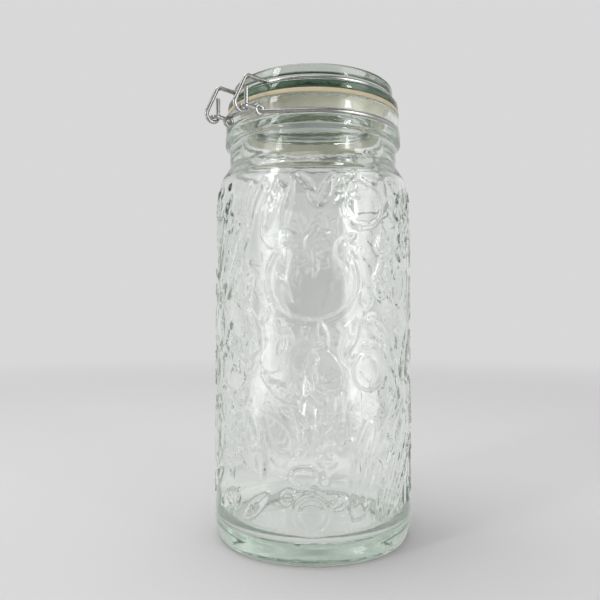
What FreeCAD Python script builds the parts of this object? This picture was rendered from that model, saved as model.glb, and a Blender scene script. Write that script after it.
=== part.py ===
import FreeCAD, Part
import math
import os
import Sketcher
from FreeCAD import Vector

# Tall clip-top glass storage jar: glass jar and lid, rubber seal and sprung steel wire.
# Axis on Z, foot on Z = 0, hinge on the +Y side, clasp on the -Y side. Millimetres.

os.makedirs("parts", exist_ok=True)
doc = FreeCAD.newDocument("ClipTopJar")

# ---- driving dimensions ----------------------------------------------------------
dimensions = {
    # jar
    "bodyRadius": 59.0,
    "bodyWall": 4.5,
    "footInset": 19.0,
    "footSlope": 4.0,
    "pushUp": 1.6,
    "floorHeight": 9.5,
    "heelRound": 2.0,
    "heelTaper": 4.0,
    "heelHeight": 14.0,
    "floorRound": 10.0,
    "shoulderHeight": 208.5,
    "taperHeight": 24.5,
    "taperDepth": 2.1,
    "shoulderRise": 9.0,
    "shoulderDrop": 5.0,
    "shoulderRound": 7.0,
    "neckStep": 8.6,
    "neckWall": 5.2,
    "neckRound": 3.0,
    "neckLength": 11.7,
    "beadReach": 2.8,
    "beadSlope": 1.4,
    "beadHeight": 7.7,
    "grooveClearance": 0.25,
    "lipReach": 1.9,
    "lipHeight": 8.5,
    "edgeRound": 1.2,
    # seal
    "sealGap": 0.1,
    "sealThickness": 2.4,
    "sealRound": 0.6,
    "skirtGap": 2.2,
    "skirtThickness": 2.0,
    "skirtDepth": 8.0,
    # lid
    "seatGap": 0.05,
    "flangeInset": 0.4,
    "flangeThickness": 4.95,
    "rimInset": 3.3,
    "rimHeight": 9.5,
    "rimWidth": 4.0,
    "rimSlope": 2.0,
    "lidGrooveDepth": 0.95,
    "lidGrooveClearance": 0.2,
    "lidGrooveSlope": 0.8,
    "plugGap": 0.2,
    "plugWall": 3.8,
    "plugSlope": 1.0,
    "plugDepth": 4.1,
    "panelTop": 6.3,
    "panelUnderside": 4.8,
    # wire
    "wireRadius": 1.15,
    "wireGap": 0.1,
    "bendRadius": 2.0,
    "eyeClearance": 0.3,
    # hinge
    "hingeReach": 14.0,
    "hingeRise": 1.0,
    "hingeHalfSpacing": 12.5,
    "earOffset": 2.7,
    "earLength": 5.8,
    "eyeletReach": 3.1,
    "eyeletTurn": 2.4,
    "eyeletShift": 1.2,
    "eyeletOffset": 1.0,
    "eyeletSwell": 0.06,
    "hookRise": 1.2,
    "hookStubRise": 10.0,
    "legLean": 3.7,
    "legBend": 3.5,
    # clasp
    "claspReach": 6.3,
    "claspBarHalfWidth": 16.5,
    "leverEyeOffset": 12.0,
    "crankDrop": 7.2,
    "stirrupHalfWidth": 15.0,
    "handleHalfWidth": 18.0,
    "handleLength": 42.3,
    "handleGap": 2.6,
    "handleBend": 7.0,
    "stirrupLength": 27.8,
    "stirrupBend": 3.0,
    "noseHalfWidth": 5.0,
    "noseReach": 5.5,
    "noseLean": 1.2,
    "noseRise": 4.0,
}

# radii and heights that follow from the sizes above, as formulas of the sheet
derived = {
    "innerRadius": "bodyRadius - bodyWall",
    "footInnerRadius": "bodyRadius - footInset",
    "footHollowRadius": "footInnerRadius - footSlope",
    "footRadius": "bodyRadius - heelTaper",
    "shoulderStart": "shoulderHeight - taperHeight",
    "shoulderRadius": "bodyRadius - taperDepth",
    "innerShoulder": "shoulderHeight - shoulderDrop",
    "neckRadius": "bodyRadius - neckStep",
    "mouthRadius": "neckRadius - neckWall",
    "beadRadius": "neckRadius + beadReach",
    "lipRadius": "neckRadius + lipReach",
    "neckStart": "shoulderHeight + shoulderRise",
    "beadStart": "neckStart + neckLength",
    "beadEdge": "beadStart + beadSlope",
    "beadTop": "beadStart + beadHeight",
    "neckWireHeight": "beadTop + grooveClearance + wireRadius",
    "neckWireRadius": "neckRadius + wireGap + wireRadius",
    "grooveTop": "neckWireHeight + wireRadius + grooveClearance",
    "lipTop": "grooveTop + lipHeight",
    "sealUnderside": "lipTop + sealGap",
    "sealTop": "sealUnderside + sealThickness",
    "skirtOuterRadius": "mouthRadius - skirtGap",
    "skirtInnerRadius": "skirtOuterRadius - skirtThickness",
    "skirtBottom": "lipTop - skirtDepth",
    "flangeUnderside": "sealTop + seatGap",
    "flangeTop": "flangeUnderside + flangeThickness",
    "flangeRadius": "lipRadius - flangeInset",
    "rimRadius": "flangeRadius - rimInset",
    "rimTop": "flangeTop + rimHeight",
    "rimInnerRadius": "rimRadius - rimWidth",
    "panelRadius": "rimInnerRadius - rimSlope",
    "lidGrooveRadius": "rimRadius - lidGrooveDepth",
    "lidWireHeight": "flangeTop + wireGap + wireRadius",
    "lidWireRadius": "lidGrooveRadius + wireGap + wireRadius",
    "lidGrooveTop": "lidWireHeight + wireRadius + lidGrooveClearance",
    "rimStart": "lidGrooveTop + lidGrooveSlope",
    "plugRadius": "skirtInnerRadius - plugGap",
    "plugInnerRadius": "plugRadius - plugWall",
    "plugBottom": "flangeUnderside - plugDepth",
    "panelBottom": "flangeUnderside + panelUnderside",
    "panelUndersideRadius": "plugInnerRadius - plugSlope",
    "panelTopHeight": "flangeTop + panelTop",
    "eyeRadius": "2 * wireRadius + eyeClearance",
    "hookRadius": "2 * wireRadius + hookRise + eyeClearance",
    "hingeRadius": "lipRadius + hingeReach",
    "pivotHeight": "neckWireHeight + hingeRise",
    "eyeletRadius": "lipRadius + eyeletReach",
    "eyeletHalfSpacing": "hingeHalfSpacing + eyeletOffset",
    "eyeletWireRadius": "wireRadius + eyeletSwell",
    "claspRadius": "lipRadius + claspReach",
    "crankRadius": "claspRadius - eyeRadius",
    "crankHeight": "neckWireHeight - crankDrop",
    "handleRadius": "bodyRadius + handleGap",
    "handleBottom": "neckWireHeight - handleLength",
}

sheet = doc.addObject("Spreadsheet::Sheet", "Dims")
rows = [(alias, str(value)) for alias, value in dimensions.items()]
rows += [(alias, f"={formula}") for alias, formula in derived.items()]
for row, (alias, content) in enumerate(rows, start=1):
    sheet.set(f"A{row}", alias)
    sheet.set(f"B{row}", content)
    sheet.setAlias(f"B{row}", alias)
doc.recompute()


def size(alias):
    """The sheet's value for one size, driving or derived."""
    return float(sheet.get(alias))


# ---- turned parts: glass and seal ------------------------------------------------
def originPlane(body, role):
    """The body's own origin plane with the given role."""
    for feature in body.Origin.OriginFeatures:
        if feature.Role == role:
            return feature
    raise ValueError(role)


def turnedBody(label, corners):
    """A body turned about Z from a half section whose corners are (radius, height) size names.

    None stands for the axis.
    """
    body = doc.addObject("PartDesign::Body", label)
    body.Label = label
    sketch = body.newObject("Sketcher::SketchObject", f"{label}_section")
    sketch.AttachmentSupport = [(originPlane(body, "XZ_Plane"), "")]
    sketch.MapMode = "FlatFace"
    points = [
        Vector(size(radius) if radius else 0, size(height) if height else 0, 0)
        for radius, height in corners
    ]
    count = len(points)
    for index in range(count):
        sketch.addGeometry(Part.LineSegment(points[index], points[(index + 1) % count]), False)
    for index in range(count):
        sketch.addConstraint(Sketcher.Constraint("Coincident", index, 2, (index + 1) % count, 1))
    for index, (radius, height) in enumerate(corners):
        placeCorner(sketch, index, "x", radius, points[index].x)
        placeCorner(sketch, index, "y", height, points[index].y)
    revolution = body.newObject("PartDesign::Revolution", f"{label}_turned")
    revolution.Profile = sketch
    revolution.ReferenceAxis = (sketch, ["V_Axis"])
    revolution.Angle = 360
    body.Tip = revolution
    doc.recompute()
    return body


def placeCorner(sketch, index, direction, name, value):
    """Hold one corner at the named distance from the sketch's origin along x or y."""
    if name is None:
        axis = -2 if direction == "x" else -1
        sketch.addConstraint(Sketcher.Constraint("PointOnObject", index, 1, axis))
        return
    kind = "DistanceX" if direction == "x" else "DistanceY"
    number = sketch.addConstraint(Sketcher.Constraint(kind, -1, 1, index, 1, value))
    sketch.setExpression(f"Constraints[{number}]", f"Dims.{name}")


def roundEdges(body, roundName, places):
    """Fillet, with the named radius, the circular edges at the named (radius, height) places."""
    rounded = body.Tip
    names = []
    for edgeRadius, edgeHeight in places:
        for number, edge in enumerate(rounded.Shape.Edges, start=1):
            if not isinstance(edge.Curve, Part.Circle):
                continue
            offRadius = abs(edge.Curve.Radius - size(edgeRadius))
            offHeight = abs(edge.Curve.Center.z - (size(edgeHeight) if edgeHeight else 0))
            if offRadius < 0.02 and offHeight < 0.02:
                names.append(f"Edge{number}")
    fillet = body.newObject("PartDesign::Fillet", f"{body.Label}_round")
    fillet.Base = (rounded, names)
    fillet.setExpression("Radius", f"Dims.{roundName}")
    body.Tip = fillet
    doc.recompute()


jar = turnedBody("jar_glass", [
    (None, "pushUp"),
    ("footHollowRadius", "pushUp"),
    ("footInnerRadius", None),
    ("footRadius", None),
    ("bodyRadius", "heelHeight"),
    ("bodyRadius", "shoulderStart"),
    ("shoulderRadius", "shoulderHeight"),
    ("neckRadius", "neckStart"),
    ("neckRadius", "beadStart"),
    ("beadRadius", "beadEdge"),
    ("beadRadius", "beadTop"),
    ("neckRadius", "beadTop"),
    ("neckRadius", "grooveTop"),
    ("lipRadius", "grooveTop"),
    ("lipRadius", "lipTop"),
    ("mouthRadius", "lipTop"),
    ("mouthRadius", "neckStart"),
    ("innerRadius", "innerShoulder"),
    ("innerRadius", "floorHeight"),
    (None, "floorHeight"),
])
roundEdges(jar, "heelRound", [("footRadius", None)])
roundEdges(jar, "floorRound", [("innerRadius", "floorHeight")])
roundEdges(jar, "shoulderRound", [("shoulderRadius", "shoulderHeight"), ("innerRadius", "innerShoulder")])
roundEdges(jar, "neckRound", [("neckRadius", "neckStart"), ("mouthRadius", "neckStart")])
roundEdges(jar, "edgeRound", [
    ("beadRadius", "beadEdge"),
    ("beadRadius", "beadTop"),
    ("lipRadius", "lipTop"),
    ("mouthRadius", "lipTop"),
])

# the seal lies on the lip and has a skirt that hangs in the mouth, round the lid's plug
seal = turnedBody("seal", [
    ("skirtInnerRadius", "skirtBottom"),
    ("skirtOuterRadius", "skirtBottom"),
    ("skirtOuterRadius", "sealUnderside"),
    ("lipRadius", "sealUnderside"),
    ("lipRadius", "sealTop"),
    ("skirtInnerRadius", "sealTop"),
])
roundEdges(seal, "sealRound", [("lipRadius", "sealUnderside"), ("lipRadius", "sealTop")])

lid = turnedBody("lid_glass", [
    (None, "panelBottom"),
    ("panelUndersideRadius", "panelBottom"),
    ("plugInnerRadius", "plugBottom"),
    ("plugRadius", "plugBottom"),
    ("plugRadius", "flangeUnderside"),
    ("flangeRadius", "flangeUnderside"),
    ("flangeRadius", "flangeTop"),
    ("lidGrooveRadius", "flangeTop"),
    ("lidGrooveRadius", "lidGrooveTop"),
    ("rimRadius", "rimStart"),
    ("rimRadius", "rimTop"),
    ("rimInnerRadius", "rimTop"),
    ("panelRadius", "panelTopHeight"),
    (None, "panelTopHeight"),
])
roundEdges(lid, "edgeRound", [
    ("rimRadius", "rimTop"),
    ("rimInnerRadius", "rimTop"),
    ("flangeRadius", "flangeTop"),
    ("plugRadius", "plugBottom"),
])


# ---- bent wire --------------------------------------------------------------------
def bentLine(points, bends):
    """Straight lengths through the points, with one bend radius for each inner corner."""
    edges = []
    start = points[0]
    for before, corner, after, radius in zip(points, points[1:], points[2:], bends):
        into = (corner - before).normalize()
        out = (after - corner).normalize()
        turn = into.getAngle(out)
        setBack = radius * math.tan(turn / 2)
        first = corner - into * setBack
        last = corner + out * setBack
        towardsCentre = (out - into).normalize()
        middle = corner + towardsCentre * (radius / math.cos(turn / 2) - radius)
        edges.append(Part.LineSegment(start, first).toShape())
        edges.append(Part.Arc(first, middle, last).toShape())
        start = last
    edges.append(Part.LineSegment(start, points[-1]).toShape())
    return edges


def onUprightCircle(centre, radius, degrees):
    """The point of a circle standing across X, degrees counted from +Y towards +Z."""
    angle = math.radians(degrees)
    return centre + Vector(0, radius * math.cos(angle), radius * math.sin(angle))


def uprightArc(centre, radius, first, last):
    """The arc of a circle standing across X, from the first angle to the last."""
    places = [onUprightCircle(centre, radius, angle) for angle in (first, (first + last) / 2, last)]
    return Part.Arc(*places).toShape()


def leaveRing(ringRadius, offset, radius, height):
    """The bend by which a wire leaves a flat ring along +Y at x = offset: start, middle, end."""
    centreX = offset + radius
    centre = Vector(centreX, math.sqrt((ringRadius + radius) ** 2 - centreX ** 2), height)
    onRing = centre - Vector(centre.x, centre.y, 0).normalize() * radius
    onLine = centre - Vector(radius, 0, 0)
    towardsMiddle = (onRing - centre + onLine - centre).normalize()
    return onRing, centre + towardsMiddle * radius, onLine


def inFront(edges):
    """The same edges on the clasp side, mirrored in the XZ plane."""
    return [edge.mirror(Vector(0, 0, 0), Vector(0, 1, 0)) for edge in edges]


def ringArc(frontEnd, backEnd, ringRadius):
    """The ring's arc on the +X side, from its front bend to its back bend."""
    start = Vector(frontEnd.x, -frontEnd.y, frontEnd.z)
    return Part.Arc(start, Vector(ringRadius, 0, start.z), backEnd).toShape()


def sweptWire(name, edges):
    """A round wire swept along the edges, which follow each other without a corner."""
    path = doc.addObject("Part::Feature", f"{name}_path")
    path.Shape = Part.Wire(edges)
    first = edges[0]
    section = doc.addObject("Part::Circle", f"{name}_section")
    section.setExpression("Radius", "Dims.wireRadius")
    section.Placement = FreeCAD.Placement(
        first.valueAt(first.FirstParameter),
        FreeCAD.Rotation(Vector(0, 0, 1), first.tangentAt(first.FirstParameter)),
    )
    sweep = doc.addObject("Part::Sweep", f"{name}_swept")
    sweep.Sections = [section]
    sweep.Spine = (path, [f"Edge{number}" for number in range(1, len(edges) + 1)])
    sweep.Solid = True
    sweep.Frenet = False
    return sweep


def joined(label, shapes):
    """The shapes made one piece, which takes the label as its name."""
    whole = doc.addObject("Part::MultiFuse", label)
    whole.Shapes = shapes
    whole.Refine = True
    whole.Label = label
    doc.recompute()
    return whole


def symmetricWire(label, edges):
    """A wire swept along a half path on the +X side and joined to its mirror image."""
    half = sweptWire(label, edges)
    mirrored = doc.addObject("Part::Mirroring", f"{label}_mirrored")
    mirrored.Source = half
    mirrored.Normal = Vector(1, 0, 0)
    return joined(label, [half, mirrored])


wireRadius = size("wireRadius")
eyeRadius = size("eyeRadius")
neckWireHeight = size("neckWireHeight")
neckWireRadius = size("neckWireRadius")
lidWireHeight = size("lidWireHeight")
lidWireRadius = size("lidWireRadius")
bend = size("bendRadius")
tightBend = 1.6 * wireRadius

# neck wire: a ring with the clasp's bar in front; behind, its ends run into two eyelets, which a
# bar joins, and from each eyelet an ear runs out and turns into a hinge pin; an eyelet's wire is a
# little thicker, so that the ends of the bar and of the ear sit inside it
claspRadius = size("claspRadius")
barHalf = size("claspBarHalfWidth")
hingeRadius = size("hingeRadius")
hingeOffset = size("hingeHalfSpacing")
pivotHeight = size("pivotHeight")
eyeletRadius = size("eyeletRadius")
eyeletTurn = size("eyeletTurn")
eyeletPlaces = [
    side * size("eyeletHalfSpacing") - size("eyeletShift") for side in (1, -1)
]
barBend = leaveRing(neckWireRadius, barHalf, bend, neckWireHeight)


def tangentPoint(target, radius):
    """Where the straight line from target touches the ring, on the side away from the hinge."""
    heading = math.atan2(abs(target.x), target.y) + math.acos(radius / math.hypot(target.x, target.y))
    return Vector(math.copysign(radius * math.sin(heading), target.x), radius * math.cos(heading), target.z)


def otherSide(edges):
    """The same edges mirrored in the YZ plane."""
    return [edge.mirror(Vector(0, 0, 0), Vector(1, 0, 0)) for edge in edges]


ringEnds = [Vector(place, eyeletRadius, neckWireHeight) for place in eyeletPlaces]
touches = [tangentPoint(end, neckWireRadius) for end in ringEnds]
frontRound = Part.Arc(barBend[2], barBend[1], barBend[0]).toShape()
frontBar = bentLine([
    Vector(0, claspRadius, neckWireHeight),
    Vector(barHalf, claspRadius, neckWireHeight),
    barBend[2],
], [bend])
ringFront = Vector(barBend[0].x, -barBend[0].y, neckWireHeight)
ringFrontOther = Vector(-barBend[0].x, -barBend[0].y, neckWireHeight)
neckRing = sweptWire("neck_ring", [
    Part.LineSegment(ringEnds[0], touches[0]).toShape(),
    Part.Arc(touches[0], Vector(neckWireRadius, 0, neckWireHeight), ringFront).toShape(),
    *inFront([frontRound] + frontBar[::-1]),
    *otherSide(inFront(frontBar + [frontRound])),
    Part.Arc(ringFrontOther, Vector(-neckWireRadius, 0, neckWireHeight), touches[1]).toShape(),
    Part.LineSegment(touches[1], ringEnds[1]).toShape(),
])

neckParts = [neckRing]
eyeletBar = doc.addObject("Part::Cylinder", "eyelet_bar")
eyeletBar.setExpression("Radius", "Dims.wireRadius")
eyeletBar.setExpression("Height", "2 * Dims.eyeletHalfSpacing")
eyeletBar.Placement = FreeCAD.Placement(
    Vector(eyeletPlaces[1], eyeletRadius, pivotHeight + eyeletTurn),
    FreeCAD.Rotation(Vector(0, 0, 1), Vector(1, 0, 0)),
)
neckParts.append(eyeletBar)
for number, place in enumerate(eyeletPlaces):
    eyelet = doc.addObject("Part::Torus", f"eyelet_{number}")
    eyelet.setExpression("Radius1", "Dims.eyeletTurn")
    eyelet.setExpression("Radius2", "Dims.eyeletWireRadius")
    eyelet.Placement = FreeCAD.Placement(
        Vector(place, eyeletRadius, pivotHeight),
        FreeCAD.Rotation(Vector(0, 0, 1), Vector(1, 0, 0)),
    )
    neckParts.append(eyelet)
    hook = math.copysign(hingeOffset, place)
    earPlace = hook - size("earOffset")
    neckParts.append(sweptWire(f"ear_{number}", bentLine([
        Vector(place, eyeletRadius + eyeletTurn, pivotHeight),
        Vector(earPlace, hingeRadius - size("earLength"), pivotHeight),
        Vector(earPlace, hingeRadius, pivotHeight),
        Vector(hook + size("earOffset"), hingeRadius, pivotHeight),
    ], [bend, bend])))
neckWire = joined("neck_wire", neckParts)

# lid wire: nose in front, ring round the lid, then an arm, a leg and a hook each side
hookCentre = Vector(hingeOffset, hingeRadius, pivotHeight + size("hookRise"))
corner = Vector(hingeOffset, hingeRadius - size("legLean"), lidWireHeight)
hookRadius = size("hookRadius")
reach = corner - hookCentre
cornerAngle = math.degrees(math.atan2(reach.z, reach.y))
legAngle = cornerAngle - math.degrees(math.acos(hookRadius / reach.Length))
stubStart = onUprightCircle(hookCentre, hookRadius, -180)
noseHalf = size("noseHalfWidth")
noseReach = size("flangeRadius") + size("noseReach")
noseTip = Vector(noseHalf, noseReach + size("noseLean"), lidWireHeight + size("noseRise"))
noseBend = leaveRing(lidWireRadius, noseHalf, bend, lidWireHeight)
armBend = leaveRing(lidWireRadius, hingeOffset, bend, lidWireHeight)
lidWire = symmetricWire("lid_wire", [
    *inFront(bentLine([
        Vector(0, noseTip.y, noseTip.z),
        noseTip,
        Vector(noseHalf, noseReach, lidWireHeight),
        noseBend[2],
    ], [tightBend, tightBend])),
    *inFront([Part.Arc(noseBend[2], noseBend[1], noseBend[0]).toShape()]),
    ringArc(noseBend[0], armBend[0], lidWireRadius),
    Part.Arc(*armBend).toShape(),
    *bentLine([armBend[2], corner, onUprightCircle(hookCentre, hookRadius, legAngle)], [size("legBend")]),
    uprightArc(hookCentre, hookRadius, legAngle, -180),
    Part.LineSegment(stubStart, stubStart + Vector(0, 0, size("hookStubRise"))).toShape(),
])

# lever: an eye each side on the clasp bar, a crank for the stirrup, then the handle loop
eyeTurn = 250
leverOffset = size("leverEyeOffset")
leverEye = Vector(leverOffset, claspRadius, neckWireHeight)
crankRadius = size("crankRadius")
crankHeight = size("crankHeight")
handleHalf = size("handleHalfWidth")
handleRadius = size("handleRadius")
handleBottom = size("handleBottom")
lever = symmetricWire("lever", inFront([
    uprightArc(leverEye, eyeRadius, 180 - eyeTurn, 180),
    *bentLine([
        onUprightCircle(leverEye, eyeRadius, 180),
        Vector(leverOffset, crankRadius, crankHeight),
        Vector(handleHalf, crankRadius, crankHeight),
        Vector(handleHalf, handleRadius, handleBottom),
        Vector(0, handleRadius, handleBottom),
    ], [tightBend, tightBend, size("handleBend")]),
]))

# stirrup: an eye each side on the lever's crank and a bar that hooks over the lid's nose
lean = math.degrees(math.atan2(handleRadius - crankRadius, crankHeight - handleBottom))
stirrupHalf = size("stirrupHalfWidth")
stirrupEye = Vector(stirrupHalf, crankRadius, crankHeight)
armStart = onUprightCircle(stirrupEye, eyeRadius, lean)
armEnd = armStart + onUprightCircle(Vector(0, 0, 0), size("stirrupLength"), lean - 90)
stirrup = symmetricWire("stirrup", inFront([
    uprightArc(stirrupEye, eyeRadius, lean + eyeTurn, lean),
    *bentLine([armStart, armEnd, Vector(0, armEnd.y, armEnd.z)], [size("stirrupBend")]),
]))

# ---- checks and export -------------------------------------------------------------
doc.recompute()
for item in doc.Objects:
    if "Invalid" in item.State or "Error" in item.State:
        raise RuntimeError(f"{item.Label} did not build: {item.State}")

pieces = [jar, neckWire, lid, seal, lidWire, lever, stirrup]
for piece in pieces:
    if piece.Shape.isNull() or not piece.Shape.isValid() or len(piece.Shape.Solids) != 1:
        raise RuntimeError(f"{piece.Label} is not one valid solid")
for piece in pieces:
    piece.Shape.exportStep(f"parts/{piece.Label}.step")
    box = piece.Shape.BoundBox
    print(f"{piece.Label}: volume {piece.Shape.Volume / 1000:.2f} cm3, z {box.ZMin:.2f} to {box.ZMax:.2f}")
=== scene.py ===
import math
import bpy
import numpy as np
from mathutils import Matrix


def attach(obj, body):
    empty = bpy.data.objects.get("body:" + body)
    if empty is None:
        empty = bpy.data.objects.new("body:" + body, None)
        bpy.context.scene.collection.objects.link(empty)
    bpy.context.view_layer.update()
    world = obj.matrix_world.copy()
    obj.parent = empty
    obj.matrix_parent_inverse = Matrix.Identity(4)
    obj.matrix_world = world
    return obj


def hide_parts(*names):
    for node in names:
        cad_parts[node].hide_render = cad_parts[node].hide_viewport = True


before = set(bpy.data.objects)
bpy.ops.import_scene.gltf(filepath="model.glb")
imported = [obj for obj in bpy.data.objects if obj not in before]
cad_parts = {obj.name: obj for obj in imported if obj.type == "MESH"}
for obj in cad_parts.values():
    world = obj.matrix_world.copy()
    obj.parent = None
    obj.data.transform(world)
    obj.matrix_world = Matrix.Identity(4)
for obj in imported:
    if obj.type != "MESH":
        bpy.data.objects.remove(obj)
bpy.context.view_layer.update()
mm = 0.001
print("frame loaded")


# ---- mesh helpers ----

def roundedSection(corners):
    # a section from corners (radius, height, round, steps), each corner on an arc of its round
    parts = [np.array([corners[0][:2]])]
    for before, corner, after in zip(corners, corners[1:], corners[2:]):
        here = np.array(corner[:2])
        into = here - np.array(before[:2])
        out = np.array(after[:2]) - here
        into = into / np.hypot(*into)
        out = out / np.hypot(*out)
        turn = math.acos(np.clip(into @ out, -1, 1))
        if corner[2] == 0:
            parts.append(here[None])
            continue
        setBack = corner[2] * math.tan(turn / 2)
        side = math.copysign(1, into[0] * out[1] - into[1] * out[0])
        normal = np.array([-into[1], into[0]]) * side
        angle = np.linspace(0, turn, corner[3])[:, None]
        start = here - into * setBack
        parts.append(start + corner[2] * (np.sin(angle) * into + (1 - np.cos(angle)) * normal))
    parts.append(np.array([corners[-1][:2]]))
    return np.concatenate(parts)


def meshObject(name, points, faces):
    # a smooth mesh object from points in metres and its faces
    mesh = bpy.data.meshes.new(name)
    mesh.from_pydata(points.tolist(), [], faces)
    mesh.validate()
    mesh.polygons.foreach_set("use_smooth", np.ones(len(mesh.polygons), bool))
    mesh.update()
    piece = bpy.data.objects.new(name, mesh)
    bpy.context.collection.objects.link(piece)
    return piece


def turnedSurface(name, radius, height, angles):
    # point = (radius sin a, -radius cos a, height), a closed skin with a pole at each end of its
    # section; radius is rows by columns, so the wall can carry relief
    rows, columns = radius.shape
    x = radius * np.sin(angles)[None]
    y = -radius * np.cos(angles)[None]
    z = np.broadcast_to(height, radius.shape)
    skin = np.stack([x, y, z], axis=2)[1:-1].reshape(-1, 3)
    poles = np.array([[0, 0, height[0, 0]], [0, 0, height[-1, 0]]])
    points = np.concatenate([skin, poles]) * mm
    row, column = np.meshgrid(np.arange(rows - 3), np.arange(columns), indexing="ij")
    nextColumn = (column + 1) % columns
    quads = np.stack([
        row * columns + column,
        row * columns + nextColumn,
        (row + 1) * columns + nextColumn,
        (row + 1) * columns + column,
    ], axis=2).reshape(-1, 4)
    ring = np.arange(columns)
    nextRing = (ring + 1) % columns
    last = (rows - 3) * columns
    firstPole = len(skin)
    lastPole = firstPole + 1
    firstFan = np.stack([np.full(columns, firstPole), nextRing, ring], axis=1)
    lastFan = np.stack([np.full(columns, lastPole), last + ring, last + nextRing], axis=1)
    faces = quads.tolist() + firstFan.tolist() + lastFan.tolist()
    print(name, len(quads) * 2 + 2 * columns, "triangles")
    return meshObject(name, points, faces)


# ---- relief of fruit and vegetables ----

reliefSize = {
    "columns": 400,
    "fullRadius": 59.0,
    "panelWidth": 182.0,      # the pattern comes round twice
    "panelAngle": 226.0,      # degrees, where the middle of a panel faces
    "low": 16.0,
    "high": 205.0,
    "fadeIn": 4.0,
    "fadeOut": 3.0,
    "deepest": -0.4,
    "highest": 1.15,
    "smallLeaves": 110,
    "leafSeed": 5,
}


def smoothStep(value, low, high):
    # 3 t^2 - 2 t^3 between low and high
    t = np.clip((value - low) / (high - low), 0, 1)
    return t * t * (3 - 2 * t)


def turned(u, z, centre, degrees):
    # the place seen from centre, turned so that degrees points along the second axis
    angle = math.radians(degrees)
    du = u - centre[0]
    dz = z - centre[1]
    return du * math.cos(angle) - dz * math.sin(angle), du * math.sin(angle) + dz * math.cos(angle)


def ridge(distance, width):
    # a rounded line: exp(-(distance / width)^2)
    return np.exp(-(distance / width) ** 2)


def pillow(distance, edge):
    # a raised form with a steep shoulder: rises from 0 at its outline to 1 at edge inside it
    return 1 - np.exp(-np.clip(-distance, 0, None) / edge) ** 1.5


def ovalDistance(u, z, centre, half, degrees=0):
    # distance to an ellipse, k (k - 1) / |gradient| with k the scaled radius
    a, b = turned(u, z, centre, degrees)
    k = np.hypot(a / half[0], b / half[1]) + 1e-6
    slope = np.hypot(a / half[0] ** 2, b / half[1] ** 2) + 1e-6
    return k * (k - 1) / slope


def strokeDistance(u, z, points):
    # the least distance to the straight lengths through the points
    least = np.full(u.shape, 1e3)
    for (u0, z0), (u1, z1) in zip(points, points[1:]):
        du, dz = u1 - u0, z1 - z0
        t = np.clip(((u - u0) * du + (z - z0) * dz) / (du * du + dz * dz), 0, 1)
        least = np.minimum(least, np.hypot(u - u0 - t * du, z - z0 - t * dz))
    return least


def stroke(u, z, points, width=0.9, height=0.8):
    return height * ridge(strokeDistance(u, z, points), width)


def dome(distance, radius):
    # sqrt(1 - k^2.4), with k = 0 in the middle and 1 at the outline
    k = np.clip(1 + distance / radius, 0, 1)
    return np.sqrt(1 - k ** 2.4)


def roundFruit(u, z, centre, half, degrees=0, height=1.0):
    # an oval dome with a fine line inside its outline
    d = ovalDistance(u, z, centre, half, degrees)
    return height * (0.62 * dome(d, min(half)) + 0.55 * ridge(d + 0.9, 0.8))


appleSize = {
    "centre": (-2, 147), "half": (25.5, 22), "dip": 0.3, "dipWidth": 0.42, "shoulder": 0.05, "fold": 0.3,
    "foldWidth": 1.6,
}


def apple(u, z):
    # an ellipse whose radius falls by dip exp(-(a / dipWidth)^2) at the top and grows a little beside
    # it, with a line along the rim and two soft folds
    s = appleSize
    x, y = s["centre"]
    du, dz = u - x, z - y
    angle = np.arctan2(du, dz)
    edge = 1 - s["dip"] * ridge(angle, s["dipWidth"]) + s["shoulder"] * ridge(np.abs(angle) - 0.8, 0.4)
    k = np.hypot(du / s["half"][0], dz / s["half"][1]) / edge
    d = (k - 1) * s["half"][1]
    folds = stroke(u, z, [(x - 9, y + 14), (x - 12, y), (x - 8, y - 10)], s["foldWidth"], s["fold"])
    folds = folds + stroke(u, z, [(x + 10, y + 12), (x + 12, y + 2)], s["foldWidth"], s["fold"])
    return 0.5 * dome(d, s["half"][1]) + 0.65 * ridge(d + 1.0, 0.85) - folds


def leaf(u, z, tail, tip, width, veins=5):
    # half width = width sin(pi t)^0.8 at t along the leaf, with a middle rib and slanting veins
    length = math.hypot(tip[0] - tail[0], tip[1] - tail[1])
    degrees = math.degrees(math.atan2(tip[0] - tail[0], tip[1] - tail[1]))
    across, along = turned(u, z, tail, degrees)
    t = np.clip(along / length, 0, 1)
    half = width * np.sin(math.pi * t ** 0.85) ** 0.8
    beside = (along > 0) & (along < length)
    inside = np.where(beside, np.abs(across) - half, np.hypot(across, along - length * t))
    rib = ridge(across, 0.8) * (inside < 0)
    space = length / veins
    vein = ridge((np.abs(across) * 0.8 + space - along) % space - space / 2, 0.7)
    body = pillow(inside, 0.8)
    return 0.5 * body + 0.42 * rib + 0.3 * vein * body + 0.38 * ridge(inside + 0.8, 0.8)


def calyx(u, z, centre, length, angles):
    # pointed leaves out of one place
    height = np.zeros_like(u)
    for degrees in angles:
        angle = math.radians(degrees)
        tip = (centre[0] + length * math.sin(angle), centre[1] + length * math.cos(angle))
        height = np.maximum(height, 1.05 * leaf(u, z, centre, tip, length * 0.16, 2))
    return height


def cluster(u, z, centres, radius, height=0.95):
    # round berries laid against each other
    total = np.zeros_like(u)
    for centre in centres:
        total = np.maximum(total, roundFruit(u, z, centre, (radius, radius), 0, height))
    return total


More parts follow.
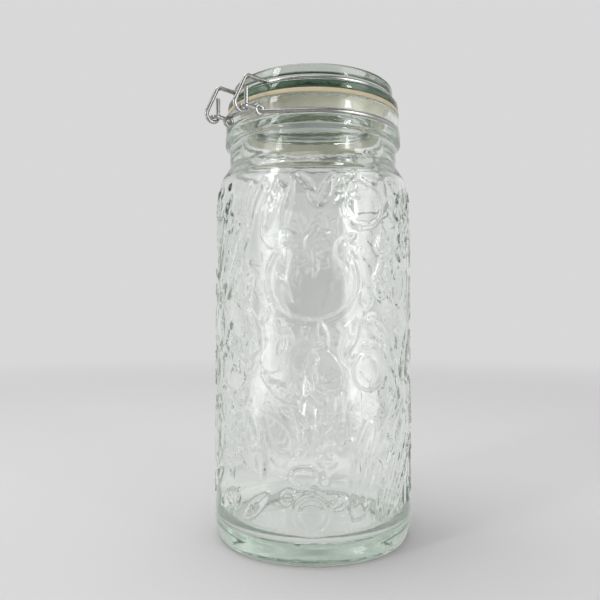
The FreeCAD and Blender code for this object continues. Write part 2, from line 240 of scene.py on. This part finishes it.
def cob(u, z, tail, tip, width):
    # a tapered ear with rows of kernels between two husk leaves
    length = math.hypot(tip[0] - tail[0], tip[1] - tail[1])
    degrees = math.degrees(math.atan2(tip[0] - tail[0], tip[1] - tail[1]))
    across, along = turned(u, z, tail, degrees)
    t = np.clip(along / length, 0, 1)
    half = width * (np.clip(1 - (2 * t - 1) ** 4, 0, 1)) ** 0.5 * (1 - 0.25 * t)
    body = pillow(np.where((along > 0) & (along < length), np.abs(across) - half, 9), 1.2)
    kernels = np.abs(np.sin(across * math.pi / 3.1)) * np.abs(np.sin(along * math.pi / 3.4))
    return body * (0.55 + 0.5 * kernels ** 0.7)


def ringBoss(u, z, centre, radii):
    # plain rings round a low dome
    r = np.hypot(u - centre[0], z - centre[1])
    rings = sum(ridge(r - radius, 0.9) for radius in radii)
    return rings + 0.15 * dome(r - radii[0], radii[0])


def reliefHeight(u, z):
    # every motif of one panel, the highest one showing; u and z in millimetres
    motifs = [
        apple(u, z),
        calyx(u, z, (-5, 169), 13, (75, 105, 135, 165)),
        calyx(u, z, (10, 165), 15, (62, 90, 118, 148)),
        stroke(u, z, [(-3, 162), (-4, 169), (1, 174)], 1.1, 1.1),
        roundFruit(u, z, (27, 187), (12.5, 11.5), 0, 1.15),
        calyx(u, z, (17, 192), 8, (-120, -70, -20, 40, 90)),
        leaf(u, z, (2, 186), (10, 204), 3.2),
        leaf(u, z, (0, 194), (-10, 204), 2.6),
        leaf(u, z, (10, 196), (22, 204), 2.4),
        leaf(u, z, (-28, 174), (-20, 202), 3.6, 7),
        leaf(u, z, (-17, 176), (-12, 200), 2.6, 6),
        stroke(u, z, [(-38, 176), (-34, 190), (-28, 202)], 1.0, 0.8),
        stroke(u, z, [(-41, 172), (-42, 186), (-38, 200)], 1.0, 0.8),
        leaf(u, z, (-64, 140), (-44, 182), 4.2, 9),
        leaf(u, z, (-56, 138), (-38, 172), 3.4, 8),
        leaf(u, z, (-72, 150), (-56, 196), 4.6, 9),
        roundFruit(u, z, (-47, 145), (7.5, 6.5), 25, 0.9),
        calyx(u, z, (-40, 148), 6, (20, 70, 120, 170)),
        roundFruit(u, z, (-72, 124), (11, 13), -15),
        calyx(u, z, (-70, 137), 7, (-80, -30, 20, 70)),
        leaf(u, z, (-40, 134), (-30, 112), 3.8),
        leaf(u, z, (-52, 126), (-62, 104), 4.2, 6),
        leaf(u, z, (-34, 104), (-52, 118), 3.6, 5),
        leaf(u, z, (14, 108), (24, 128), 3.8, 5),
        leaf(u, z, (6, 112), (2, 128), 2.8, 5),
        leaf(u, z, (30, 128), (44, 116), 3.0, 4),
        roundFruit(u, z, (38, 144), (5.2, 5.2), 0, 0.9),
        roundFruit(u, z, (28, 138), (4.6, 4.6), 0, 0.9),
        stroke(u, z, [(33, 148), (38, 158), (48, 164)], 0.9, 0.8),
        leaf(u, z, (34, 166), (50, 166), 2.8, 4),
        roundFruit(u, z, (58, 146), (9.5, 13), 20),
        stroke(u, z, [(56, 160), (53, 166)], 1.1, 0.9),
        cluster(u, z, [(58, 172), (65, 176), (60, 180), (67, 184), (62, 188), (69, 168), (71, 192),
                       (56, 164), (74, 178), (66, 196), (54, 186)], 4.3),
        leaf(u, z, (58, 196), (44, 204), 3.4),
        leaf(u, z, (74, 196), (86, 204), 3.2),
        roundFruit(u, z, (30, 100), (10, 9.8)),
        roundFruit(u, z, (6, 100), (13, 8), 60, 0.9),
        roundFruit(u, z, (-8, 92), (8, 6.5), -30, 0.9),
        calyx(u, z, (19, 104), 6, (-60, -20, 30)),
        leaf(u, z, (-8, 84), (-28, 96), 4.0, 6),
        leaf(u, z, (-12, 58), (-26, 78), 4.6, 6),
        leaf(u, z, (-4, 62), (-12, 82), 3.2, 5),
        leaf(u, z, (4, 66), (10, 88), 3.2, 5),
        stroke(u, z, [(5, 92), (6, 78), (4, 64)], 0.9, 0.9),
        stroke(u, z, [(12, 96), (14, 80), (12, 66)], 0.9, 0.7),
        leaf(u, z, (-32, 48), (-38, 78), 3.4, 7),
        leaf(u, z, (-28, 44), (-30, 70), 2.6, 6),
        cluster(u, z, [(-52, 76), (-46, 72), (-56, 68), (-50, 65), (-44, 64), (-54, 60), (-48, 57),
                       (-52, 51)], 3.7),
        leaf(u, z, (-50, 80), (-62, 90), 3.8),
        leaf(u, z, (-46, 80), (-38, 92), 3.4),
        roundFruit(u, z, (-6, 47), (7, 4.6), 0, 0.95),
        stroke(u, z, [(-6, 44), (-6, 37)], 1.8, 0.8),
        roundFruit(u, z, (6, 55), (5.2, 3.8), 15, 0.95),
        stroke(u, z, [(6, 52), (5, 45)], 1.5, 0.8),
        roundFruit(u, z, (-14, 36), (4.2, 3.4), -20, 0.9),
        roundFruit(u, z, (27, 50), (6.5, 26), 16, 0.95),
        stroke(u, z, [(21, 32), (27, 50), (33, 70)], 0.9, 1.1),
        leaf(u, z, (19, 24), (30, 32), 3.2, 4),
        cob(u, z, (38, 24), (66, 80), 8.5),
        leaf(u, z, (38, 24), (48, 62), 4.2, 6),
        leaf(u, z, (42, 22), (72, 60), 4.4, 7),
        stroke(u, z, [(44, 104), (52, 96), (55, 84), (46, 72)], 1.0, 0.9),
        leaf(u, z, (60, 92), (50, 124), 4.0, 6),
        leaf(u, z, (64, 94), (74, 122), 4.4, 6),
        roundFruit(u, z, (84, 140), (8, 14), -10),
        leaf(u, z, (84, 158), (90, 190), 4.4, 7),
        leaf(u, z, (-64, 24), (-44, 36), 3.6, 5),
        leaf(u, z, (-40, 22), (-26, 36), 3.2, 5),
        roundFruit(u, z, (-76, 60), (9, 16), 14),
        calyx(u, z, (-72, 77), 7, (-60, -10, 40)),
        leaf(u, z, (-84, 30), (-68, 42), 3.6, 5),
        leaf(u, z, (-88, 88), (-78, 110), 4.0, 6),
        roundFruit(u, z, (86, 40), (10, 9)),
        calyx(u, z, (86, 50), 6, (-70, -20, 30, 80)),
        leaf(u, z, (80, 66), (88, 92), 4.2, 6),
        ringBoss(u, z, (-2, 28), (10.4, 7.2)),
    ]
    motifs.append(scatteredLeaves(u, z) * (1 - smoothStep(np.max(motifs, axis=0), 0.05, 0.3)))
    return np.clip(np.max(motifs, axis=0), reliefSize["deepest"], reliefSize["highest"])


def scatteredLeaves(u, z):
    # small leaves between the fruits, laid by a seeded draw and wrapped at the panel's edge
    size = reliefSize
    draw = np.random.default_rng(size["leafSeed"])
    height = np.zeros_like(u)
    for number in range(size["smallLeaves"]):
        centre = draw.uniform(-size["panelWidth"] / 2, size["panelWidth"] / 2)
        level = draw.uniform(size["low"] + 4, size["high"] - 4)
        length = draw.uniform(7, 12)
        angle = draw.uniform(0, 2 * math.pi)
        local = (u - centre + size["panelWidth"] / 2) % size["panelWidth"] - size["panelWidth"] / 2
        tip = (length * math.sin(angle), length * math.cos(angle))
        height = np.maximum(height, 0.75 * leaf(local, z - level, (0, 0), tip, length * 0.22, 3))
    return height


def wallRelief(angles, height):
    # the panel laid round the wall: u = radius times the angle from the panel's middle, wrapped
    size = reliefSize
    start = math.radians(size["panelAngle"])
    arc = (angles[None] - start) * (2 * size["panelWidth"] / (2 * math.pi))
    u = (arc + size["panelWidth"] / 2) % size["panelWidth"] - size["panelWidth"] / 2
    u, z = np.broadcast_arrays(u, height)
    fade = smoothStep(height, size["low"], size["low"] + size["fadeIn"])
    fade = fade * (1 - smoothStep(height, size["high"] - size["fadeOut"], size["high"]))
    return reliefHeight(u, z) * fade


# ---- jar glass ----

jarShape = {
    "standOff": 0.02,
    "pushUp": 1.6,
    "hollow": 36,
    "footInner": 40,
    "foot": 55.0,
    "footRound": 2,
    "heel": 58.6,
    "heelStart": 11.0,
    "heelRound": 14,
    "heelEnd": 13.6,
    "plain": 57.85,
    "heelFadeLow": 10,
    "heelFadeHigh": 30,
    "wallLow": 14.0,
    "wallHigh": 206.0,
    "wallStep": 1.2,
    "shoulder": 55.9,
    "shoulderHeight": 208.0,
    "taperStart": 186,
    "taperEnd": 214,
    "taperShare": 0.9,
    "neck": 50.4,
    "neckStart": 217.5,
    "neckEnd": 229.2,
    "bead": 53.2,
    "beadLow": 231.0,
    "beadTop": 236.9,
    "grooveTop": 239.7,
    "lip": 52.3,
    "lipTop": 248.2,
    "mouth": 45.2,
    "inner": 54.3,
    "floor": 9.5,
    "floorRound": 11,
}


def makeJarGlass():
    # the section runs up the outside from the middle of the foot and down the inside to the floor
    s = jarShape
    print("jar glass")
    wallHeights = np.arange(s["wallLow"], s["wallHigh"], s["wallStep"])
    fade = 1 - smoothStep(wallHeights, s["heelFadeLow"], s["heelFadeHigh"])
    taper = smoothStep(wallHeights, s["taperStart"], s["taperEnd"])
    wallRadius = s["plain"] + (s["heel"] - s["plain"]) * fade
    wallRadius -= (s["plain"] - s["shoulder"]) * taper * s["taperShare"]
    below = roundedSection([
        (0, s["pushUp"], 0, 1), (s["hollow"], s["pushUp"], 3, 3),
        (s["footInner"], s["standOff"], 3, 3), (s["foot"], s["standOff"], s["footRound"], 5),
        (s["heel"], s["heelStart"], s["heelRound"], 6), (s["heel"], s["heelEnd"], 0, 1),
    ])
    above = roundedSection([
        (wallRadius[-1], 205.6, 0, 1), (s["shoulder"] - 0.4, s["shoulderHeight"] + 1.5, 9.5, 7),
        (s["neck"], s["neckStart"], 5.5, 6), (s["neck"], s["neckEnd"], 0.6, 2),
        (s["bead"], s["beadLow"], 1.3, 4), (s["bead"], s["beadTop"], 1.3, 4),
        (s["neck"], s["beadTop"], 0.3, 2), (s["neck"], s["grooveTop"], 0.3, 2),
        (s["lip"], s["grooveTop"], 0.5, 3), (s["lip"], s["lipTop"], 1.4, 5),
        (s["mouth"], s["lipTop"], 1.4, 5), (s["mouth"], s["neckStart"] + 0.5, 7, 6),
        (s["inner"] - 2.0, 207.5, 9, 7), (s["inner"], 184, 30, 3),
        (s["inner"], 150, 0, 1), (s["inner"], 60, 0, 1),
        (s["inner"], s["floor"], s["floorRound"], 10),
        (24, s["floor"] + 0.2, 0, 1), (0, s["floor"] + 0.5, 0, 1),
    ])
    angles = np.arange(reliefSize["columns"]) * 2 * math.pi / reliefSize["columns"]
    section = np.concatenate([below, np.stack([wallRadius, wallHeights], axis=1), above])
    radius = np.repeat(section[:, :1], len(angles), axis=1)
    height = section[:, 1:]
    wall = slice(len(below), len(below) + len(wallRadius))
    radius[wall] += wallRelief(angles, wallHeights[:, None])
    radius = np.minimum(radius, reliefSize["fullRadius"])
    piece = turnedSurface("jarGlass", radius, height, angles)
    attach(piece, "jar")
    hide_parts("jar_glass")
    return piece


# ---- lid glass ----

lidShape = {
    "columns": 256,
    "panelLow": 4.6,        # heights above the flange's underside
    "panelCrown": 4.8,
    "plugDepth": 4.1,
    "plugInner": 37.1,
    "plug": 40.8,
    "panelEdge": 35.6,
    "flangeUnder": 250.75,
    "flangeTop": 255.7,
    "flange": 51.9,
    "groove": 47.65,
    "grooveTop": 258.3,
    "rim": 48.6,
    "rimStart": 259.1,
    "rimTop": 265.2,
    "rimWidth": 4,
    "panelTop": 262.0,
    "panelInset": 6,
}


def makeLidGlass():
    # the section runs from the middle of the underside out and up to the middle of the panel
    s = lidShape
    print("lid glass")
    under = s["flangeUnder"]
    section = roundedSection([
        (0, under + s["panelCrown"], 0, 1), (s["panelEdge"], under + s["panelLow"], 1.6, 6),
        (s["plugInner"], under - s["plugDepth"], 1.2, 6), (s["plug"], under - s["plugDepth"], 1.2, 6),
        (s["plug"], under, 0.5, 3), (s["flange"], under, 0.9, 5),
        (s["flange"], s["flangeTop"], 1.5, 7), (s["groove"], s["flangeTop"], 0.4, 4),
        (s["groove"], s["grooveTop"], 0.4, 4), (s["rim"], s["rimStart"], 0.4, 4),
        (s["rim"], s["rimTop"], 1.5, 8), (s["rim"] - s["rimWidth"], s["rimTop"], 1.4, 8),
        (s["rim"] - s["panelInset"], s["panelTop"], 1.4, 6), (0, s["panelTop"], 0, 1),
    ])
    angles = np.arange(s["columns"]) * 2 * math.pi / s["columns"]
    radius = np.repeat(section[:, :1], len(angles), axis=1)
    piece = turnedSurface("lidGlass", radius, section[:, 1:], angles)
    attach(piece, "lid")
    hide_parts("lid_glass")
    return piece


# ---- materials ----

class Value:
    # a socket that can be added, multiplied and so on, each operator adding its Math node
    def __init__(self, tree, socket):
        self.tree = tree
        self.socket = socket

    def math(self, operation, first, second=None):
        values = [first] if second is None else [first, second]
        return self.tree.node("ShaderNodeMath", {"operation": operation}, values)

    def __add__(self, other): return self.math("ADD", self, other)
    def __radd__(self, other): return self.math("ADD", other, self)
    def __sub__(self, other): return self.math("SUBTRACT", self, other)
    def __rsub__(self, other): return self.math("SUBTRACT", other, self)
    def __mul__(self, other): return self.math("MULTIPLY", self, other)
    def __rmul__(self, other): return self.math("MULTIPLY", other, self)


class Tree:
    def __init__(self, owner):
        owner.use_nodes = True
        self.tree = owner.node_tree
        self.tree.nodes.clear()

    def node(self, kind, settings=None, values=(), output=0):
        # a node with its settings first, then the values or links of its sockets
        made = self.tree.nodes.new(kind)
        for key, setting in (settings or {}).items():
            setattr(made, key, setting)
        pairs = values.items() if isinstance(values, dict) else enumerate(values)
        for key, value in pairs:
            if isinstance(value, Value):
                self.tree.links.new(value.socket, made.inputs[key])
            else:
                made.inputs[key].default_value = value
        return Value(self, made.outputs[output]) if len(made.outputs) else made

    def blend(self, factor, first, second):
        # a colour between first and second
        return self.node("ShaderNodeMix", {"data_type": "RGBA"}, {0: factor, 6: first, 7: second}, 2)

    def step(self, value, low, high, start=0.0, end=1.0):
        # a smooth step from start at low to end at high
        values = {0: value, 1: low, 2: high, 3: start, 4: end}
        return self.node("ShaderNodeMapRange", {"interpolation_type": "SMOOTHSTEP"}, values)


glassLook = {
    "jar": {
        "tint": (0.985, 0.995, 0.985, 1), "absorb": (0.62, 0.76, 0.65, 1), "density": 12.0, "stipple": 0.4,
    },
    "lid": {
        "tint": (0.97, 0.985, 0.97, 1), "absorb": (0.40, 0.54, 0.43, 1), "density": 38.0, "stipple": 0.0,
    },
}
glassSurface = {
    "index": 1.5,
    "swirlScale": 90.0,
    "rippleScale": 420.0,
    "swirlShare": 0.8,
    "waveStrength": 0.25,
    "waveDepth": 0.0006,
    "roughness": 0.01,
    "rippleRoughness": 0.03,
    "footLow": 0.0002,      # the stippled face of the foot fades out between these heights
    "footHigh": 0.0008,
}


def partAlong(t, vector, axis):
    return t.node("ShaderNodeVectorMath", {"operation": "DOT_PRODUCT"}, [vector, list(axis)], 1)


def heightOf(t, place):
    return partAlong(t, place, (0, 0, 1))


def glassMaterial(name):
    # clear pressed glass: its waves are noise in the normal, its green comes from the depth of glass
    look = glassLook[name]
    s = glassSurface
    material = bpy.data.materials.new(f"{name}Glass")
    t = Tree(material)
    place = t.node("ShaderNodeTexCoord", output="Object")
    swirl = t.node("ShaderNodeTexNoise", {}, {"Vector": place, "Scale": s["swirlScale"], "Detail": 2.0})
    ripple = t.node("ShaderNodeTexNoise", {}, {"Vector": place, "Scale": s["rippleScale"], "Detail": 1.0})
    waves = swirl * s["swirlShare"] + ripple * (1 - s["swirlShare"])
    bump = t.node("ShaderNodeBump", {}, {
        "Strength": s["waveStrength"], "Distance": s["waveDepth"], "Height": waves,
    })
    rough = s["roughness"] + s["rippleRoughness"] * ripple
    if look["stipple"]:
        rough = rough + t.step(heightOf(t, place), s["footLow"], s["footHigh"], look["stipple"], 0.0)
    surface = t.node("ShaderNodeBsdfPrincipled", {}, {
        "Base Color": look["tint"], "Roughness": rough, "IOR": s["index"],
        "Transmission Weight": 1.0, "Normal": bump,
    })
    inside = t.node("ShaderNodeVolumeAbsorption", {}, {"Color": look["absorb"], "Density": look["density"]})
    t.node("ShaderNodeOutputMaterial", {}, {"Surface": surface, "Volume": inside})
    return material


steelLook = {
    "dark": (0.40, 0.40, 0.39, 1),
    "pale": (0.60, 0.60, 0.59, 1),
    "grainScale": 900.0,
    "wearScale": 120.0,
    "roughness": 0.16,
    "grainRoughness": 0.18,
    "grainStrength": 0.2,
    "grainDepth": 0.0001,
}


def steelMaterial():
    # drawn wire: fine grain in the normal and the roughness, wear in the colour
    s = steelLook
    material = bpy.data.materials.new("drawnSteel")
    t = Tree(material)
    place = t.node("ShaderNodeTexCoord", output="Object")
    grain = t.node("ShaderNodeTexNoise", {}, {"Vector": place, "Scale": s["grainScale"], "Detail": 3.0})
    wear = t.node("ShaderNodeTexNoise", {}, {"Vector": place, "Scale": s["wearScale"], "Detail": 3.0})
    colour = t.blend(wear, s["dark"], s["pale"])
    bump = t.node("ShaderNodeBump", {}, {
        "Strength": s["grainStrength"], "Distance": s["grainDepth"], "Height": grain,
    })
    surface = t.node("ShaderNodeBsdfPrincipled", {}, {
        "Base Color": colour, "Metallic": 1.0, "Normal": bump,
        "Roughness": s["roughness"] + s["grainRoughness"] * grain,
    })
    t.node("ShaderNodeOutputMaterial", {}, {"Surface": surface})
    return material


rubberLook = {
    "edgeDark": (0.60, 0.50, 0.31, 1),
    "edgePale": (0.72, 0.64, 0.44, 1),
    "skirtDark": (0.93, 0.90, 0.72, 1),
    "skirtPale": (0.97, 0.95, 0.82, 1),
    "lip": 0.2482,
    "lipFade": 0.0003,
    "mottleScale": 160.0,
    "mottleStrength": 0.3,
    "mottleDepth": 0.0002,
    "roughness": 0.5,
    "mottleRoughness": 0.2,
}


def rubberMaterial():
    # cream rubber, mottled by noise and paler on the skirt below the lip than on the edge above it
    s = rubberLook
    material = bpy.data.materials.new("creamRubber")
    t = Tree(material)
    place = t.node("ShaderNodeTexCoord", output="Object")
    mottle = t.node("ShaderNodeTexNoise", {}, {"Vector": place, "Scale": s["mottleScale"], "Detail": 4.0})
    edge = t.blend(mottle, s["edgeDark"], s["edgePale"])
    skirt = t.blend(mottle, s["skirtDark"], s["skirtPale"])
    onEdge = t.step(heightOf(t, place), s["lip"], s["lip"] + s["lipFade"])
    colour = t.blend(onEdge, skirt, edge)
    bump = t.node("ShaderNodeBump", {}, {
        "Strength": s["mottleStrength"], "Distance": s["mottleDepth"], "Height": mottle,
    })
    surface = t.node("ShaderNodeBsdfPrincipled", {}, {
        "Base Color": colour, "Roughness": s["roughness"] + s["mottleRoughness"] * mottle, "Normal": bump,
    })
    t.node("ShaderNodeOutputMaterial", {}, {"Surface": surface})
    return material


def dress(piece, material):
    # one material on every slot
    if not piece.data.materials:
        piece.data.materials.append(material)
    for slot in piece.material_slots:
        slot.link = "OBJECT"
        slot.material = material


# ---- stage, light and camera ----

stageLook = {
    "pale": 0.69,
    "room": 0.36,
    "panel": 2.4,
    "shade": 0.17,
    "patch": 0.8,
    "patchScale": 6.0,
    "near": 0.45,           # the floor's shaded part ends between these radii
    "far": 1.6,
    "lensSide": 226.0,      # degrees
    "middle": 0.3,          # height from which the floor's own level is judged
    # the painted light on the floor under the jar for rays through the glass: its radius and level
    "underGlowRadius": 0.075,
    "under": 0.66,
    "floorRadius": 12,
    "floorColour": (0.71, 0.705, 0.71, 1),
    "lightColour": (1, 0.994, 0.994, 1),
    "softColour": (1, 0.995, 0.99, 1),
    "softLow": 0.45,
    "softHigh": 0.66,
}


def lensDirections():
    # level directions from the jar: (sin a, -cos a) to the lens and (cos a, sin a) to its right
    angle = math.radians(stageLook["lensSide"])
    toLens = np.array([math.sin(angle), -math.cos(angle), 0.0])
    toRight = np.array([math.cos(angle), math.sin(angle), 0.0])
    return toLens, toRight


def studioLevel(t, direction):
    # pale behind the jar with a soft shade in the middle, and on the lens side a darker room with a
    # tall soft panel at each side; every border is a smooth step of the direction's parts
    s = stageLook
    toLens, toRight = lensDirections()
    facing = partAlong(t, direction, toLens)
    across = partAlong(t, direction, toRight)
    up = partAlong(t, direction, (0, 0, 1))
    side = across.math("ABSOLUTE", across)
    base = t.step(facing, -0.1, 0.5, s["pale"], s["room"]) * t.step(up, 0.3, 0.8, 1.0, 0.4)
    tall = t.step(up, -0.75, -0.5) * t.step(up, 0.5, 0.7, 1.0, 0.0)
    inRoom = t.step(facing, 0.15, 0.3)
    right = tall * t.step(across, 0.5, 0.66) * t.step(across, 0.86, 0.95, 1.0, 0.0) * inRoom
    left = tall * t.step(across, -0.95, -0.86) * t.step(across, -0.8, -0.7, 1.0, 0.0) * inRoom
    shade = t.step(side, 0.02, 0.2, 1.0, 0.0) * t.step(facing, -0.85, -0.5, 1.0, 0.0)
    shade = shade * t.step(up, -0.05, 0.28, 0.3, 1.0)
    noise = t.node("ShaderNodeTexNoise", {}, {
        "Vector": direction, "Scale": s["patchScale"], "Detail": 1.0,
    })
    uneven = 1.02 + s["patch"] * (noise - 0.5)
    return base * uneven + s["panel"] * (right + left) - s["shade"] * shade


def rayKind(t, *names):
    # 1 for the named kinds of ray, else 0
    path = t.tree.nodes.new("ShaderNodeLightPath")
    total = Value(t, path.outputs[names[0]])
    for name in names[1:]:
        total = total.math("MAXIMUM", total, Value(t, path.outputs[name]))
    return total


def glowing(t, colour, strength):
    return t.node("ShaderNodeEmission", {}, {"Color": colour, "Strength": strength})


def sky(t, colour, strength):
    return t.node("ShaderNodeBackground", {}, {"Color": colour, "Strength": strength})


def makeFloor():
    # a pale card by the jar that turns into an even glow far from it; for light that comes through the
    # glass or off it the floor glows with painted light instead: the studio's levels with their painted
    # shade and panels, and an even painted light right under the jar, in place of the light that the
    # glass lets through to the floor there
    s = stageLook
    mesh = bpy.data.meshes.new("floor")
    ring = np.linspace(0, 2 * math.pi, 96, endpoint=False)
    points = s["floorRadius"] * np.stack([np.sin(ring), np.cos(ring), np.zeros_like(ring)], axis=1)
    mesh.from_pydata(points.tolist(), [], [list(range(95, -1, -1))])
    floor = bpy.data.objects.new("floor", mesh)
    bpy.context.collection.objects.link(floor)
    material = bpy.data.materials.new("paleFloor")
    t = Tree(material)
    place = t.node("ShaderNodeTexCoord", output="Object")
    away = t.node("ShaderNodeVectorMath", {"operation": "LENGTH"}, [place], 1)
    fade = t.step(away, s["near"], s["far"])
    through = rayKind(t, "Is Glossy Ray", "Is Transmission Ray")
    card = t.node("ShaderNodeBsdfDiffuse", {}, {"Color": s["floorColour"]})
    lowered = t.node("ShaderNodeVectorMath", {"operation": "SUBTRACT"}, [place, [0, 0, s["middle"]]])
    side = t.node("ShaderNodeVectorMath", {"operation": "NORMALIZE"}, [lowered])
    # painted light for rays through the glass: an even glow under the jar, the studio's painted levels
    # further out
    under = t.step(away, 0.7 * s["underGlowRadius"], s["underGlowRadius"])
    paintedGlowLevel = s["under"] * (1 - under) + studioLevel(t, side) * under
    paintedGlow = glowing(t, s["lightColour"], paintedGlowLevel)
    mixed = t.node("ShaderNodeMixShader", {}, [fade, card, glowing(t, s["lightColour"], s["pale"])])
    mixed = t.node("ShaderNodeMixShader", {}, [through, mixed, paintedGlow])
    t.node("ShaderNodeOutputMaterial", {}, {"Surface": mixed})
    dress(floor, material)


def makeWorld():
    # even behind the jar for the lens, the studio for glass and steel, a soft sky for the rest
    s = stageLook
    world = bpy.data.worlds.new("studio")
    bpy.context.scene.world = world
    t = Tree(world)
    direction = t.node("ShaderNodeTexCoord", output="Generated")
    level = t.step(partAlong(t, direction, (0, 0, 1)), 0.02, 0.75, s["softLow"], s["softHigh"])
    soft = sky(t, s["softColour"], level)
    studio = sky(t, s["lightColour"], studioLevel(t, direction))
    plain = sky(t, s["lightColour"], s["pale"])
    shiny = rayKind(t, "Is Glossy Ray", "Is Transmission Ray")
    mixed = t.node("ShaderNodeMixShader", {}, [shiny, soft, studio])
    mixed = t.node("ShaderNodeMixShader", {}, [rayKind(t, "Is Camera Ray"), mixed, plain])
    t.node("ShaderNodeOutputWorld", {}, {"Surface": mixed})


lamps = {
    "overhead": {"place": (0.3, 0.2, 1.6), "target": (0, 0, 0.1), "size": (1.2, 1.2), "power": 9},
    "window": {"place": (0.1, 1.2, 0.85), "target": (0, 0, 0.12), "size": (0.2, 0.5), "power": 2.5},
    "strip": {"place": (-1.05, 0.0, 0.42), "target": (0, 0, 0.12), "size": (0.09, 0.32), "power": 1.0},
    "lowStrip": {
        "place": (-0.24, 0.33, 0.045), "target": (0, 0, 0.09), "size": (0.010, 0.05), "power": 0.025,
    },
    "lowStripTwo": {
        "place": (-0.30, 0.28, 0.035), "target": (0, 0, 0.08), "size": (0.008, 0.04), "power": 0.012,
    },
}


def makeLamp(name, lamp):
    # a rectangular lamp that the lens doesn't see itself
    data = bpy.data.lights.new(name, "AREA")
    data.shape = "RECTANGLE"
    data.size, data.size_y = lamp["size"]
    data.energy = lamp["power"]
    light = bpy.data.objects.new(name, data)
    bpy.context.collection.objects.link(light)
    light.location = lamp["place"]
    light.visible_camera = False
    light.rotation_euler = aimedAlong(np.array(lamp["target"], float) - np.array(lamp["place"], float))


def aimedAlong(direction):
    # the turn that points an object's -Z along direction
    length = np.linalg.norm(direction)
    tilt = math.acos(-direction[2] / length)
    heading = math.atan2(direction[1], direction[0]) - math.pi / 2
    return tilt, 0.0, heading


cameraPlace = {
    "distance": 0.3668,
    "height": 0.1287,
    "aside": -0.0078,       # towards the lens's right
    "pitch": 1.6,           # degrees above level
    "lens": 36.0,
    "sensor": 36.0,
}


def makeCamera():
    s = cameraPlace
    angle = math.radians(stageLook["lensSide"])
    data = bpy.data.cameras.new("camera")
    data.sensor_width = s["sensor"]
    data.lens = s["lens"]
    data.clip_start = 0.01
    camera = bpy.data.objects.new("camera", data)
    bpy.context.collection.objects.link(camera)
    toLens, toRight = lensDirections()
    place = toLens * s["distance"] + toRight * s["aside"]
    camera.location = (place[0], place[1], s["height"])
    camera.rotation_euler = (math.radians(90 + s["pitch"]), 0, angle)
    bpy.context.scene.camera = camera


steel = steelMaterial()
rubber = rubberMaterial()
dress(makeJarGlass(), glassMaterial("jar"))
dress(makeLidGlass(), glassMaterial("lid"))
for node in ("neck_wire", "lid_wire", "lever", "stirrup"):
    dress(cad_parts[node], steel)
dress(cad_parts["seal"], rubber)
print("stage")
makeFloor()
makeWorld()
for name, lamp in lamps.items():
    makeLamp(name, lamp)
makeCamera()
bpy.context.scene.view_settings.view_transform = "Standard"
bpy.context.scene.cycles.glossy_bounces = 16      # light turns many times inside the thick foot
bpy.context.scene.cycles.transmission_bounces = 20
bpy.context.scene.cycles.max_bounces = 24

print("scene ready")
